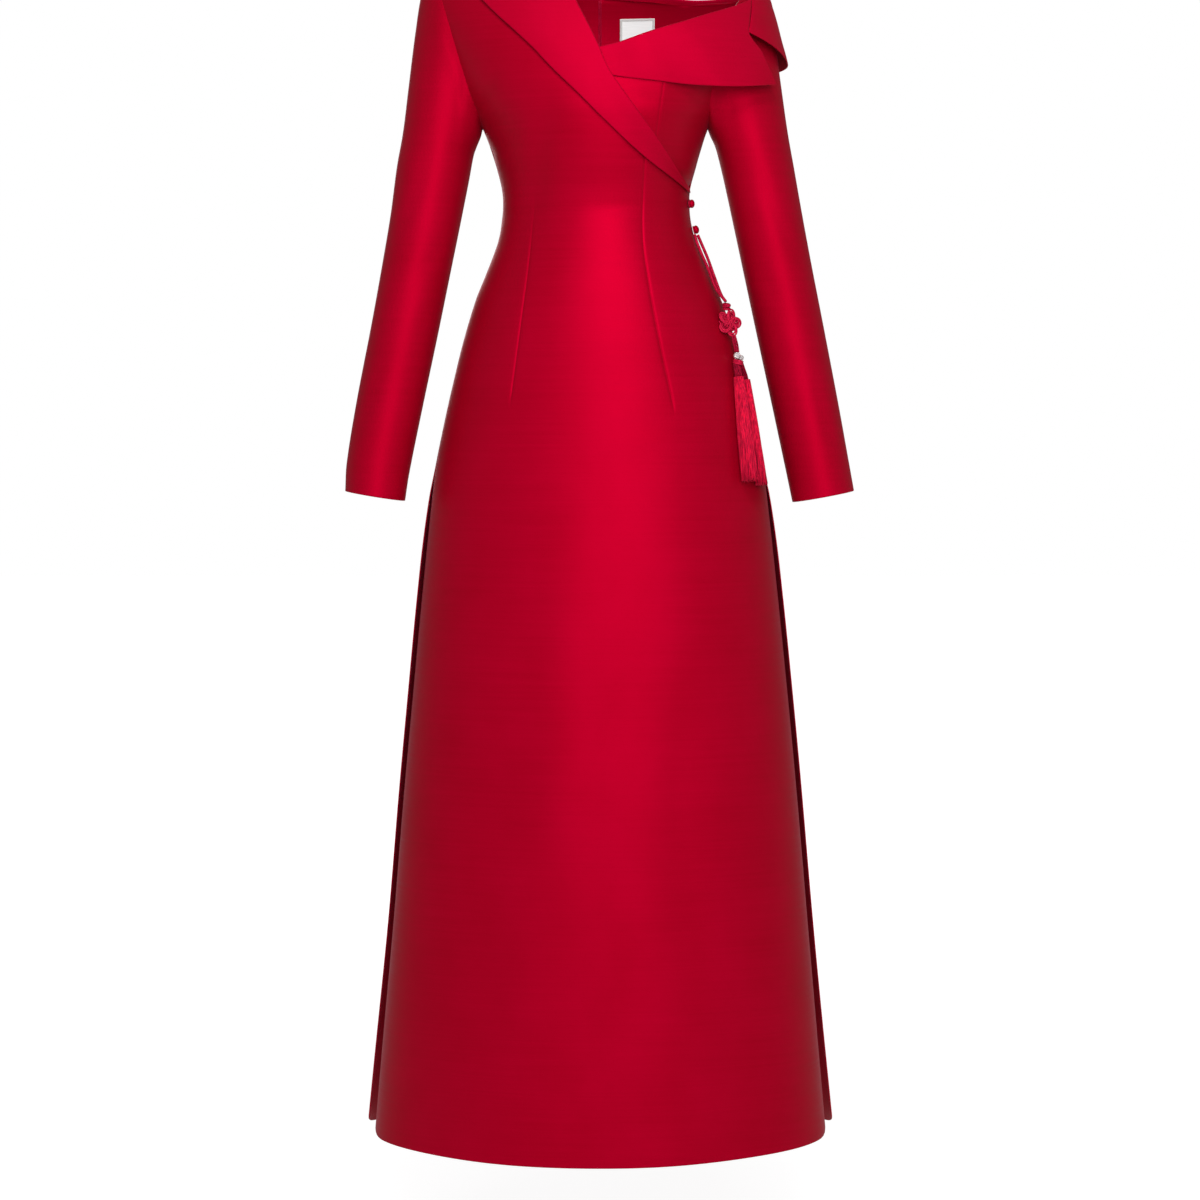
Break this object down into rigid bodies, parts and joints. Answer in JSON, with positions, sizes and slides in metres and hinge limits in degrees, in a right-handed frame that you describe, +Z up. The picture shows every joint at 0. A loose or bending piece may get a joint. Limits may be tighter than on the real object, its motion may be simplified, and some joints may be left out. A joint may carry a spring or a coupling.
{
  "type": "ao dai tunic",
  "caption": "Long-sleeved wrap ao dai tunic with a folded off-shoulder collar, side slits and a knotted tassel at the hip, shaped as worn.",
  "frame": {"origin": "the point between the shoulders where the wearer carries the garment", "axes": "+X to the wearer's left, +Y to the wearer's back, +Z up"},
  "size_m": [0.5998, 0.3031, 1.4306],
  "materials": {
    "cloth": "satin",
    "trim": "satin",
    "label": "satin",
    "bead": "gloss",
    "tassel": "satin"
  },
  "bodies": {
    "root": {"front": "cloth", "front_under": "cloth", "back_right": "cloth", "back_left": "cloth", "sleeve_right": "cloth", "sleeve_left": "cloth", "lapel": "cloth", "collar_band": "cloth", "collar_back": "cloth", "button_top": "trim", "button_low": "trim", "cord_outer": "trim", "cord_inner": "trim", "knot_top": "trim", "knot_flower": "trim", "drop_a": "trim", "drop_b": "trim", "drop_c": "trim", "ring": "trim", "neck_front": "trim", "neck_side": "trim", "label": "label", "bead": "bead", "bead_side": "bead", "tassel_front": "tassel", "tassel_side": "tassel"}
  },
  "joints": []
}
